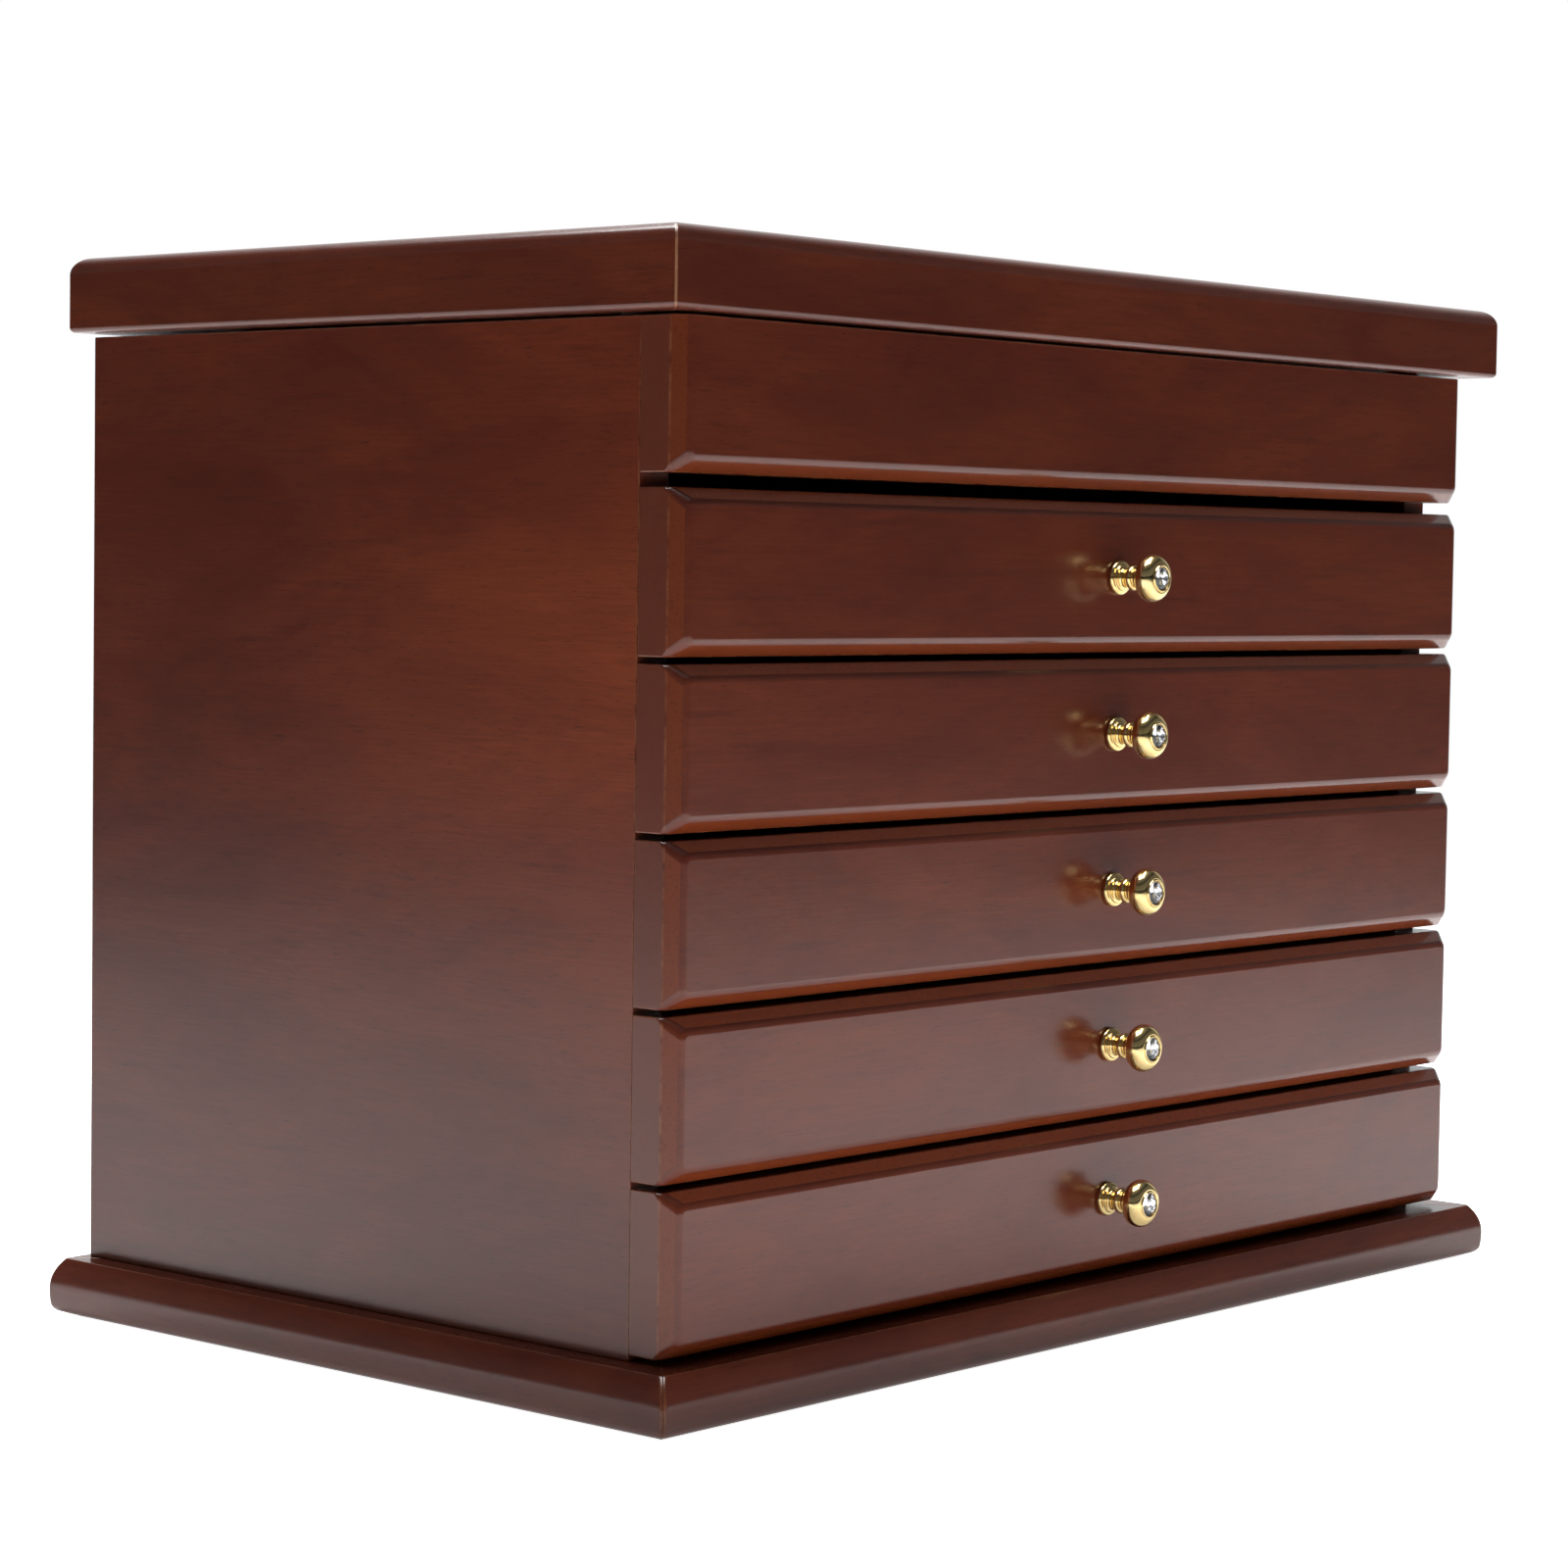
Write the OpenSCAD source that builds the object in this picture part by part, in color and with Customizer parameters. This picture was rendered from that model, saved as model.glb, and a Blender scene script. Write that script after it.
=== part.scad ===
// Jewellery chest: a lidded top compartment over five drawers, on a moulded base.
// Millimetres. +X is the chest's right as seen from the front, +Y its back, +Z up.
// The origin is the bottom centre of the whole object's box, knobs included.

/* [Carcase] */
// Width across the outside of the side panels
carcase_w = 300; // [280:1:340]
// Depth of the side panels, front edge to back edge
carcase_d = 174.5; // [172:0.5:200]
// Thickness of the side panels
side_t = 9; // [8:0.5:12]
// Thickness of the back panel
back_t = 9; // [8.5:0.5:12]

/* [Base] */
// Height of the base mouldings
base_h = 12.7; // [11:0.1:16]
// How far the base stands out past the side panels
base_side = 8.8; // [7:0.1:12]
// How far the base stands out past the drawer fronts
base_front = 6.6; // [5:0.1:10]
// How far the base stands out past the back
base_back = 4.9; // [4:0.1:10]
// Radius of the base's rounded upper edge
base_r = 10.5; // [8:0.5:12]
// Height, in the base mouldings, where that round starts
base_round_z = 5.5; // [4:0.1:8]
// Radius of the base's lower edge
base_low_r = 1.4; // [0.5:0.1:2]
// Thickness of the felt under the base
felt_t = 1; // [0.5:0.1:2]

/* [Drawers] */
// Height of each drawer front
front_h = 34.8; // [33:0.1:38]
// Thickness of the drawer fronts and the fascia
front_t = 11.6; // [10:0.1:14]
// Gap between neighbouring drawer fronts
front_gap = 1.4; // [1:0.1:2.5]
// Gap between the base and the lowest drawer front
base_gap = 1.3; // [0.8:0.1:2.5]
// Width of the bevel round a front, across its face
bevel_w = 2.9; // [1:0.1:4]
// Depth of the bevel round a front, into its thickness
bevel_d = 3.4; // [1:0.1:5]

/* [Fascia and lid] */
// Gap between the top drawer and the fascia
fascia_gap = 2.9; // [2:0.1:4]
// Height of the fixed fascia in front of the top compartment
fascia_h = 32.1; // [30:0.1:40]
// Thickness of the lid
lid_h = 17.3; // [15:0.1:20]
// How far the lid stands out past the side panels
lid_side = 7.6; // [6:0.1:10]
// How far the lid stands out past the fascia
lid_front = 5; // [3:0.1:8]
// Radius of the lid's upper edge
lid_r = 4; // [3:0.5:7]
// Radius of the lid's lower edge
lid_low_r = 1.2; // [0.5:0.1:3]
// Gap that the bumpers keep under the closed lid
lid_gap = 0.6; // [0.4:0.1:1.2]

/* [Knob] */
// Diameter of a knob's head
knob_d = 11; // [10:0.5:14]
// Thickness of a knob's head
knob_head_t = 5.2; // [4:0.1:6]
// Diameter of a knob's flange
knob_flange_d = 8; // [7:0.1:10]
// Length of a knob from the drawer front to its crown
knob_len = 12.5; // [12:0.1:16]
// Diameter of the stone set in a knob's crown
gem_d = 5.3; // [4:0.1:6]

/* [Hidden] */
$fn = 64;
drawers = 5;

// Colours
wood = "#5a2a1c";
inner_wood = "#a06a44";
velvet = "#d9c7a8";
felt = "#3a3230";
brass = "#d8b04a";
silvering = "#cfd8dc";
stone = "#f4f8ff";

// How far a cutting shape runs past the face that it cuts
past = 1;

// Knob profile, measured out along its axis from the drawer front
shank_r = 1.5;
shank_len = 9;
shank_fit = 0.1;
flange_t = 1.4;
step_r = 3.1;
step_top = 2;
neck_r = 2.2;
bead_r = 1;
bead_s = 4.6;
collar_r = 2.7;
collar_s = 5.9;
head_s = knob_len - knob_head_t / 2;
gem_r = gem_d / 2;
gem_rise = 0.7;
gem_fit = 0.1;
gem_table = 0.55;
gem_culet = 0.3;
gem_sides = 8;
pocket_depth = 1.3;
girdle_s = knob_len - 0.1;

// The design has the side panels' front edges at y = 0, and is then centred on its own box
y_front = -front_t - girdle_s - gem_rise;
y_back = carcase_d + base_back;
y_shift = -(y_front + y_back) / 2;

// Levels
z_base = felt_t + base_h;
z_first = z_base + base_gap;
front_pitch = front_h + front_gap;
z_fascia = z_first + drawers * front_pitch - front_gap + fascia_gap;
z_top = z_fascia + fascia_h;
z_lid = z_top + lid_gap;
function front_z(i) = z_first + (drawers - i) * front_pitch;

// Carcase
inner_w = carcase_w - 2 * side_t;
back_y = carcase_d - back_t;
floor_t = 4;
z_floor = z_fascia + 1;
base_board_t = 6;
moulding_w = 30;
base_x = carcase_w / 2 + base_side;
base_y0 = -front_t - base_front;
base_y1 = carcase_d + base_back;
felt_inset = 5;

// Drawer box, with heights measured from the bottom of its front
box_gap = 1;
box_w = inner_w - 2 * box_gap;
box_side_t = 8;
box_inner_x = box_w / 2 - box_side_t;
box_d = 160;
box_inner_y = box_d - box_side_t;
box_z = 3;
box_top = 32;
bottom_z = 5;
bottom_t = 3;
tongue = 3;
runner_w = 4.5;
runner_z0 = 12.5;
runner_z1 = 19.5;
runner_fit = 0.3;
runner_start = 12;
groove_depth = 4;
lining_t = 1.2;
lining_drop = 1.5;

// Top compartment
lining_x = inner_w / 2 - lining_t;
lining_y0 = lining_t;
lining_y1 = back_y - lining_t;
z_lined = z_floor + floor_t + lining_t;
rolls = 9;
roll_pitch = (lining_y1 - lining_y0) / rolls;
roll_r = 8.5;
roll_x0 = 0.7 - lining_x;
roll_len = 88;
divider_t = 3;
divider_h = 19;
rolls_divider_x = roll_x0 + roll_len + 0.8;
bumper_r = 4;
bumper_inset = 4.6;

// Lid
lid_x = carcase_w / 2 + lid_side;
lid_y0 = -front_t - lid_front;
lid_y1 = carcase_d;
rail_w = 24;
panel_t = 9;
panel_z = z_lid + lid_h - panel_t;
mirror_t = 3;
mirror_border = 18;
lid_lining_t = 4.5;

// Hinges
hinge_x = 85;
hinge_len = 30;
knuckle_r = 2.2;
knuckle_gap = 0.2;
end_knuckle = hinge_len / 3 - knuckle_gap / 2;
mid_knuckle = hinge_len / 3 - knuckle_gap;
pin_r = 1.1;
pin_fit = 0.05;
leaf_t = 1.2;
leaf_w = 9.5;
axis_y = carcase_d + 2.7;
axis_z = z_top + lid_gap / 2;
screw_r = 1;
screw_head_r = 2;
screw_len = 8;
screw_fit = 0.05;
screw_x = 10;
screw_y = carcase_d - 4.5;

// A box from its two opposite corners
module block(lo, hi) {
    translate(lo) cube(hi - lo);
}

// The left and right copies of something made for the right-hand side
module both_sides() {
    for (s = [0, 1]) mirror([s, 0, 0]) children();
}

// A cylinder lying along X, from x0 to x1
module rod_x(r, y, z, x0, x1) {
    translate([x0, y, z]) rotate([0, 90, 0]) cylinder(r = r, h = x1 - x0);
}

// A frame member's outer edge, drawn at x = 0 with its body towards +X: square, but for its lowest r
module low_round(w, h, r) {
    difference() {
        square([w, h]);
        square(r);
    }
    translate([r, r]) circle(r);
}

// One mitred frame member, with its section as the child: centred on x = 0, its outer edge on y = 0
// and len long, facing -Y
module mitred(len, w, h) {
    intersection() {
        translate([-len / 2, 0, 0]) rotate([90, 0, 90]) linear_extrude(len) children();
        linear_extrude(h)
            polygon([[-len / 2, 0], [len / 2, 0], [len / 2 - w, w], [w - len / 2, w]]);
    }
}

// ---- Base ----

module underside_felt() {
    color(felt)
    block([felt_inset - base_x, base_y0 + felt_inset, 0],
          [base_x - felt_inset, base_y1 - felt_inset, felt_t]);
}

module base_board() {
    color(inner_wood)
    block([moulding_w - base_x, base_y0 + moulding_w, z_base - base_board_t],
          [base_x - moulding_w, base_y1 - moulding_w, z_base]);
}

// The round of base_r starts upright at base_round_z and meets the flat top at a crease
module base_profile() {
    union() {
        low_round(moulding_w, base_round_z, base_low_r);
        intersection() {
            square([moulding_w, base_h]);
            translate([base_r, base_round_z]) circle(base_r);
        }
        translate([base_r, 0]) square([moulding_w - base_r, base_h]);
    }
}

module base_moulding(len) {
    mitred(len, moulding_w, base_h) base_profile();
}

module base_long_mouldings() {
    color(wood) {
        translate([0, base_y0, felt_t]) base_moulding(2 * base_x);
        translate([0, base_y1, felt_t]) rotate(180) base_moulding(2 * base_x);
    }
}

module base_side_mouldings() {
    color(wood)
    both_sides()
        translate([base_x, (base_y0 + base_y1) / 2, felt_t]) rotate(90)
            base_moulding(base_y1 - base_y0);
}

// ---- Carcase ----

module side_panel() {
    color(wood)
    block([inner_w / 2, 0, z_base], [carcase_w / 2, carcase_d, z_top]);
}

module left_side_panel() {
    mirror([1, 0, 0]) side_panel();
}

module back_panel() {
    color(wood)
    difference() {
        block([-inner_w / 2, back_y, z_base], [inner_w / 2, carcase_d, z_top]);
        both_sides() {
            block([hinge_x - hinge_len / 2, axis_y - leaf_w, axis_z - leaf_t],
                  [hinge_x + hinge_len / 2, carcase_d + past, z_top + past]);
            screw_places(-1) screw_hole();
        }
    }
}

module compartment_floor() {
    color(inner_wood)
    block([-inner_w / 2, 0, z_floor], [inner_w / 2, back_y, z_floor + floor_t]);
}

// A front plate with its back on y = 0. The edges of its face are bevelled; the upper one can be left square
module bevelled_front(z, h, bevelled_top = true) {
    w = carcase_w / 2;
    top = bevelled_top ? [[-front_t, h - bevel_w], [bevel_d - front_t, h]] : [[-front_t, h]];
    intersection() {
        translate([0, 0, z]) linear_extrude(h)
            polygon([[-w, 0], [w, 0], [w, bevel_d - front_t], [w - bevel_w, -front_t],
                     [bevel_w - w, -front_t], [-w, bevel_d - front_t]]);
        translate([-w, 0, z]) rotate([90, 0, 90]) linear_extrude(2 * w)
            polygon(concat([[0, 0], [bevel_d - front_t, 0], [-front_t, bevel_w]], top, [[0, h]]));
    }
}

module front_fascia() {
    color(wood) bevelled_front(z_fascia, fascia_h, bevelled_top = false);
}

module drawer_runners() {
    color(inner_wood)
    for (i = [1 : drawers])
        both_sides()
            block([inner_w / 2 - runner_w, runner_start, front_z(i) + runner_z0],
                  [inner_w / 2, back_y, front_z(i) + runner_z1]);
}

// ---- Top compartment ----

// An open-topped tray with thin walls
module tray(lo, hi) {
    wall = [lining_t, lining_t, 0];
    color(velvet)
    difference() {
        block(lo, hi);
        block(lo + wall + [0, 0, lining_t], hi - wall + [0, 0, past]);
    }
}

module compartment_lining() {
    tray([-inner_w / 2, 0, z_floor + floor_t], [inner_w / 2, back_y, z_top - lining_drop]);
}

module compartment_dividers() {
    mid_y = (lining_y0 + lining_y1) / 2;
    right_x = rolls_divider_x + divider_t;
    mid_x = (right_x + lining_x) / 2;
    top = z_lined + divider_h;
    color(velvet) {
        block([rolls_divider_x, lining_y0, z_lined], [right_x, lining_y1, top]);
        block([right_x, mid_y - divider_t / 2, z_lined], [lining_x, mid_y + divider_t / 2, top]);
        block([mid_x - divider_t / 2, mid_y + divider_t / 2, z_lined],
              [mid_x + divider_t / 2, lining_y1, top]);
    }
}

module ring_rolls() {
    color(velvet)
    for (i = [0 : rolls - 1])
        rod_x(roll_r, lining_y0 + (i + 0.5) * roll_pitch, z_lined + roll_r, roll_x0, roll_x0 + roll_len);
}

module lid_bumpers() {
    color(felt)
    both_sides()
        translate([carcase_w / 2 - bumper_inset, bumper_inset, z_top]) cylinder(r = bumper_r, h = lid_gap);
}

// ---- Lid ----

module rail_profile() {
    union() {
        low_round(rail_w, lid_h - lid_r, lid_low_r);
        translate([lid_r, lid_h - lid_r]) circle(lid_r);
        translate([lid_r, 0]) square([rail_w - lid_r, lid_h]);
    }
}

module lid_rail(len) {
    mitred(len, rail_w, lid_h) rail_profile();
}

module lid_front_rail() {
    color(wood) translate([0, lid_y0, z_lid]) lid_rail(2 * lid_x);
}

module lid_rear_rail() {
    color(wood)
    difference() {
        translate([0, lid_y1, z_lid]) rotate(180) lid_rail(2 * lid_x);
        both_sides() {
            block([hinge_x - hinge_len / 2, axis_y - leaf_w, z_lid - past],
                  [hinge_x + hinge_len / 2, lid_y1 + past, axis_z + leaf_t]);
            screw_places(1) screw_hole();
        }
    }
}

module lid_side_rails() {
    color(wood)
    both_sides()
        translate([lid_x, (lid_y0 + lid_y1) / 2, z_lid]) rotate(90) lid_rail(lid_y1 - lid_y0);
}

module lid_panel() {
    color(wood)
    block([rail_w - lid_x, lid_y0 + rail_w, panel_z], [lid_x - rail_w, lid_y1 - rail_w, z_lid + lid_h]);
}

module lid_lining() {
    border = rail_w + mirror_border;
    color(velvet)
    difference() {
        block([rail_w - lid_x, lid_y0 + rail_w, panel_z - lid_lining_t],
              [lid_x - rail_w, lid_y1 - rail_w, panel_z]);
        block([border - lid_x, lid_y0 + border, panel_z - lid_lining_t - past],
              [lid_x - border, lid_y1 - border, panel_z + past]);
    }
}

module mirror_glass() {
    border = rail_w + mirror_border;
    color(silvering)
    block([border - lid_x, lid_y0 + border, panel_z - mirror_t], [lid_x - border, lid_y1 - border, panel_z]);
}

// ---- Hinges ----

// The right-hand hinge's two screws. dir is -1 for the chest's leaf and 1 for the lid's;
// z = 0 is the hidden face of the leaf, and +Z runs through it to its open face.
module screw_places(dir) {
    for (k = [-1, 1])
        translate([hinge_x + k * screw_x, screw_y, axis_z + dir * leaf_t])
            mirror([0, 0, dir < 0 ? 0 : 1])
                children();
}

module screw_hole() {
    translate([0, 0, -screw_len]) cylinder(r = screw_r + screw_fit, h = screw_len + leaf_t + past);
}

// A leaf with knuckles, each from one x to another, measured from the hinge's middle
module hinge_leaf(dir, knuckles) {
    z0 = min(axis_z, axis_z + dir * leaf_t);
    difference() {
        union() {
            block([hinge_x - hinge_len / 2, axis_y - leaf_w, z0],
                  [hinge_x + hinge_len / 2, carcase_d, z0 + leaf_t]);
            for (span = knuckles) {
                rod_x(knuckle_r, axis_y, axis_z, hinge_x + span[0], hinge_x + span[1]);
                block([hinge_x + span[0], axis_y - leaf_w, z0],
                      [hinge_x + span[1], axis_y - pin_r, z0 + leaf_t]);
            }
        }
        rod_x(pin_r + pin_fit, axis_y, axis_z, hinge_x - hinge_len, hinge_x + hinge_len);
        screw_places(dir) {
            screw_hole();
            cylinder(r1 = screw_r + screw_fit, r2 = screw_head_r + screw_fit, h = leaf_t);
        }
    }
}

module hinge_body_leaves() {
    end = hinge_len / 2;
    color(brass) both_sides() hinge_leaf(-1, [[-end, end_knuckle - end], [end - end_knuckle, end]]);
}

module hinge_lid_leaves() {
    color(brass) both_sides() hinge_leaf(1, [[-mid_knuckle / 2, mid_knuckle / 2]]);
}

module hinge_pins() {
    color(brass)
    both_sides() rod_x(pin_r, axis_y, axis_z, hinge_x - hinge_len / 2, hinge_x + hinge_len / 2);
}

module hinge_screws(dir) {
    sunk = leaf_t - screw_fit;
    color(brass)
    both_sides() screw_places(dir)
        union() {
            cylinder(r1 = screw_r, r2 = screw_head_r, h = sunk);
            translate([0, 0, sunk / 2 - screw_len]) cylinder(r = screw_r, h = screw_len);
        }
}

// ---- Drawers ----

// Turns something made along +Z from z = 0 to stand out of the middle of a drawer's face
module on_front(i) {
    translate([0, -front_t, front_z(i) + front_h / 2]) rotate([90, 0, 0]) children();
}

module drawer_front(i) {
    z = front_z(i) + bottom_z;
    x = box_inner_x + tongue;
    color(wood)
    difference() {
        bevelled_front(front_z(i), front_h);
        block([-x, -tongue, z], [x, past, z + bottom_t]);
        on_front(i)
            translate([0, 0, -shank_len - shank_fit]) cylinder(r = shank_r + shank_fit, h = shank_len + past);
    }
}

module drawer_sides(i) {
    z = front_z(i);
    bottom_groove = [[box_inner_x - past, -past, z + bottom_z],
                     [box_inner_x + tongue, box_inner_y + tongue, z + bottom_z + bottom_t]];
    runner_groove = [[box_w / 2 - groove_depth, runner_start - past, z + runner_z0 - runner_fit],
                     [box_w / 2 + past, box_d + past, z + runner_z1 + runner_fit]];
    color(inner_wood)
    both_sides()
        difference() {
            block([box_inner_x, 0, z + box_z], [box_w / 2, box_d, z + box_top]);
            block(bottom_groove[0], bottom_groove[1]);
            block(runner_groove[0], runner_groove[1]);
        }
}

module drawer_back(i) {
    z = front_z(i);
    color(inner_wood)
    difference() {
        block([-box_inner_x, box_inner_y, z + box_z], [box_inner_x, box_d, z + box_top]);
        block([-box_w, box_inner_y - past, z + bottom_z],
              [box_w, box_inner_y + tongue, z + bottom_z + bottom_t]);
    }
}

module drawer_bottom(i) {
    z = front_z(i) + bottom_z;
    x = box_inner_x + tongue;
    color(inner_wood)
    block([-x, -tongue, z], [x, box_inner_y + tongue, z + bottom_t]);
}

module drawer_lining(i) {
    z = front_z(i);
    tray([-box_inner_x, 0, z + bottom_z + bottom_t], [box_inner_x, box_inner_y, z + box_top - lining_drop]);
}

// Half of the knob's section, kept on the right of the axis
module knob_profile() {
    flange_edge = flange_t / 2;
    head_edge = knob_head_t / 2;
    intersection() {
        translate([0, -shank_len]) square([knob_d, shank_len + knob_len]);
        union() {
            translate([0, -shank_len]) square([shank_r, shank_len + step_top]);
            square([knob_flange_d / 2 - flange_edge, flange_t]);
            translate([knob_flange_d / 2 - flange_edge, flange_edge]) circle(flange_edge);
            square([step_r, step_top]);
            square([neck_r, head_s]);
            translate([neck_r, bead_s]) circle(bead_r);
            translate([0, collar_s]) square([collar_r, head_s - collar_s]);
            translate([0, head_s - head_edge]) square([knob_d / 2 - head_edge, knob_head_t]);
            translate([knob_d / 2 - head_edge, head_s]) circle(head_edge);
        }
    }
}

module drawer_knob(i) {
    color(brass)
    on_front(i) rotate_extrude()
        difference() {
            knob_profile();
            translate([0, knob_len - pocket_depth]) square([gem_r + gem_fit, pocket_depth + past]);
        }
}

module drawer_gem(i) {
    seat_s = knob_len - pocket_depth + gem_fit;
    color(stone)
    on_front(i)
        union() {
            translate([0, 0, girdle_s])
                cylinder(r1 = gem_r, r2 = gem_r * gem_table, h = gem_rise, $fn = gem_sides);
            translate([0, 0, seat_s])
                cylinder(r1 = gem_r * gem_culet, r2 = gem_r, h = girdle_s - seat_s, $fn = gem_sides);
        }
}

translate([0, y_shift, 0]) {
    underside_felt();
    base_board();
    base_long_mouldings();
    base_side_mouldings();
    left_side_panel();
    side_panel();  // right_side_panel
    back_panel();
    compartment_floor();
    front_fascia();
    drawer_runners();
    compartment_lining();
    compartment_dividers();
    ring_rolls();
    lid_bumpers();
    hinge_body_leaves();
    hinge_pins();
    hinge_screws(-1);  // hinge_body_screws
    lid_panel();
    lid_front_rail();
    lid_rear_rail();
    lid_side_rails();
    lid_lining();
    mirror_glass();  // mirror
    hinge_lid_leaves();
    hinge_screws(1);  // hinge_lid_screws
    for (i = [1 : drawers]) {
        name = str("drawer_", i);
        drawer_front(i);
        drawer_sides(i);
        drawer_back(i);
        drawer_bottom(i);
        drawer_lining(i);
        drawer_knob(i);
        drawer_gem(i);
    }
}
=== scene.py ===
import math

import bmesh
import bpy
from mathutils import Matrix, Vector, noise


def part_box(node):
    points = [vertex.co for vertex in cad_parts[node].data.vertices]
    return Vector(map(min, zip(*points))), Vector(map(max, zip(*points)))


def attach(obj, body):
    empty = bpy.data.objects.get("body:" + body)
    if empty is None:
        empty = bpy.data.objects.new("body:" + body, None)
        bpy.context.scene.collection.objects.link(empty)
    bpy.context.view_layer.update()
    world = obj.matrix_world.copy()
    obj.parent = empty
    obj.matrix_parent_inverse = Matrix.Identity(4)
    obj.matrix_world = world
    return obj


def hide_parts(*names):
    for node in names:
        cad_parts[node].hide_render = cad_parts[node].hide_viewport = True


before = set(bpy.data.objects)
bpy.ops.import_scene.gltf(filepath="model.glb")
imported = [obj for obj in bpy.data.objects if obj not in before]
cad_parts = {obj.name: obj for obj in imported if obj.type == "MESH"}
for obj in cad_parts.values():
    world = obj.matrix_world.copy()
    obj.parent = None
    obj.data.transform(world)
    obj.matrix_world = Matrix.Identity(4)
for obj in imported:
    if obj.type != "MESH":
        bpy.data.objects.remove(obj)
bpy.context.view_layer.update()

# All lengths are in metres
MM = 0.001
TINY = 1e-6
DRAWERS = 5

# Grain axes, as indices into x, y, z
ALONG_X, ALONG_Y = 0, 1


# ---------------------------------------------------------------- camera

FOCAL_LENGTH = 90.6
SENSOR_WIDTH = 36.0
CAMERA_PLACE = Vector((-0.7408, -0.6317, 0.1790))
CAMERA_YAW, CAMERA_DIP, CAMERA_ROLL = (math.radians(a) for a in (48.985, 3.177, 0.851))


def make_camera():
    """A camera to the left of the chest's front, a little above its middle. Yaw turns it from +Y to +X."""
    ahead = Vector((math.sin(CAMERA_YAW) * math.cos(CAMERA_DIP),
                    math.cos(CAMERA_YAW) * math.cos(CAMERA_DIP),
                    -math.sin(CAMERA_DIP)))
    right = Vector((math.cos(CAMERA_YAW), -math.sin(CAMERA_YAW), 0))
    turn = Matrix.Rotation(CAMERA_ROLL, 3, ahead)
    right = turn.inverted() @ right
    up = right.cross(ahead)
    data = bpy.data.cameras.new("camera")
    data.lens = FOCAL_LENGTH
    data.sensor_width = SENSOR_WIDTH
    camera = bpy.data.objects.new("camera", data)
    axes = Matrix((right, up, -ahead)).transposed()
    camera.matrix_world = Matrix.Translation(CAMERA_PLACE) @ axes.to_4x4()
    bpy.context.scene.collection.objects.link(camera)
    bpy.context.scene.camera = camera


# ---------------------------------------------------------------- materials

def add_node(tree, kind, inputs=None, **settings):
    """A shader node with its settings made and its inputs either linked or set."""
    made = tree.nodes.new(kind)
    for key, value in settings.items():
        setattr(made, key, value)
    for key, value in (inputs or {}).items():
        if isinstance(value, bpy.types.NodeSocket):
            tree.links.new(value, made.inputs[key])
        else:
            made.inputs[key].default_value = value
    return made


def new_material(name):
    material = bpy.data.materials.new(name)
    material.use_nodes = True
    tree = material.node_tree
    return material, tree, tree.nodes["Principled BSDF"]


def ramp(tree, value, *stops):
    """Grey levels that follow value; each stop is (position, level)."""
    made = add_node(tree, "ShaderNodeValToRGB", {"Fac": value})
    elements = made.color_ramp.elements
    while len(elements) < len(stops):
        elements.new(0.5)
    for element, (position, level) in zip(elements, stops):
        element.position = position
        element.color = (level, level, level, 1)
    return made.outputs["Color"]


def mix(tree, factor, first, second, blend="MIX"):
    made = add_node(tree, "ShaderNodeMix", data_type="RGBA", blend_type=blend)
    for socket, value in ((made.inputs["Factor"], factor), (made.inputs[6], first), (made.inputs[7], second)):
        if isinstance(value, bpy.types.NodeSocket):
            tree.links.new(value, socket)
        elif isinstance(value, tuple):
            socket.default_value = (*value, 1)
        else:
            socket.default_value = value
    return made.outputs[2]


def scaled(tree, value, factor):
    return add_node(tree, "ShaderNodeMath", {0: value, 1: factor}, operation="MULTIPLY").outputs[0]


def object_coords(tree, scale, offset=(0, 0, 0)):
    place = add_node(tree, "ShaderNodeTexCoord").outputs["Object"]
    inputs = {"Vector": place, "Location": offset, "Scale": scale}
    return add_node(tree, "ShaderNodeMapping", inputs).outputs[0]


def noise_of(tree, coords, detail=2.0, roughness=0.5, distortion=0.0):
    inputs = {"Vector": coords, "Scale": 1.0, "Detail": detail, "Roughness": roughness,
              "Distortion": distortion}
    return add_node(tree, "ShaderNodeTexNoise", inputs).outputs[0]


def grain_coords(tree, axis, along, across, seed):
    """Object coordinates stretched along the grain: features are about 1/along long and 1/across wide."""
    scale = [across] * 3
    scale[axis] = along
    return object_coords(tree, scale, (seed * 3.7, seed * 1.9, seed * 5.3))


def grain(tree, axis, seed):
    """Masks of a fine-grained board: broad figure, fibres, dark streaks and pores."""
    figure = noise_of(tree, grain_coords(tree, axis, 13, 42, seed), 5, 0.62, 0.6)
    fibres = noise_of(tree, grain_coords(tree, axis, 60, 1300, seed), 4, 0.65)
    streaks = noise_of(tree, grain_coords(tree, axis, 34, 330, seed + 11), 4, 0.6, 0.3)
    pores = noise_of(tree, grain_coords(tree, axis, 260, 3400, seed + 5), 2, 0.5)
    return (ramp(tree, figure, (0.32, 0.0), (0.68, 1.0)),
            ramp(tree, fibres, (0.3, 0.0), (0.7, 1.0)),
            ramp(tree, streaks, (0.58, 0.0), (0.76, 1.0)),
            ramp(tree, pores, (0.62, 0.0), (0.72, 1.0)))


STAIN_DARK = (0.078, 0.0122, 0.0050)
STAIN_LIGHT = (0.130, 0.0245, 0.0084)
STAIN_FIBRE = (0.056, 0.0102, 0.0042)
STAIN_STREAK = (0.036, 0.0078, 0.0040)
STAIN_PORE = (0.026, 0.0062, 0.0034)
# The upper bevel's colour is paler as painted light, standing for light that falls on it from above
BEVELS = {"bevel": (0.140, 0.0262, 0.0056), "upper_bevel_painted_light": (0.290, 0.0560, 0.0130)}
END_GRAIN = (0.108, 0.0245, 0.0120)
# The paler colour of eased edges: partly wear, partly a painted highlight along the edges
RUBBED_AND_HIGHLIGHT = (0.240, 0.0850, 0.0340)
BARE_MITRE = (0.420, 0.2100, 0.1100)


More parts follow.
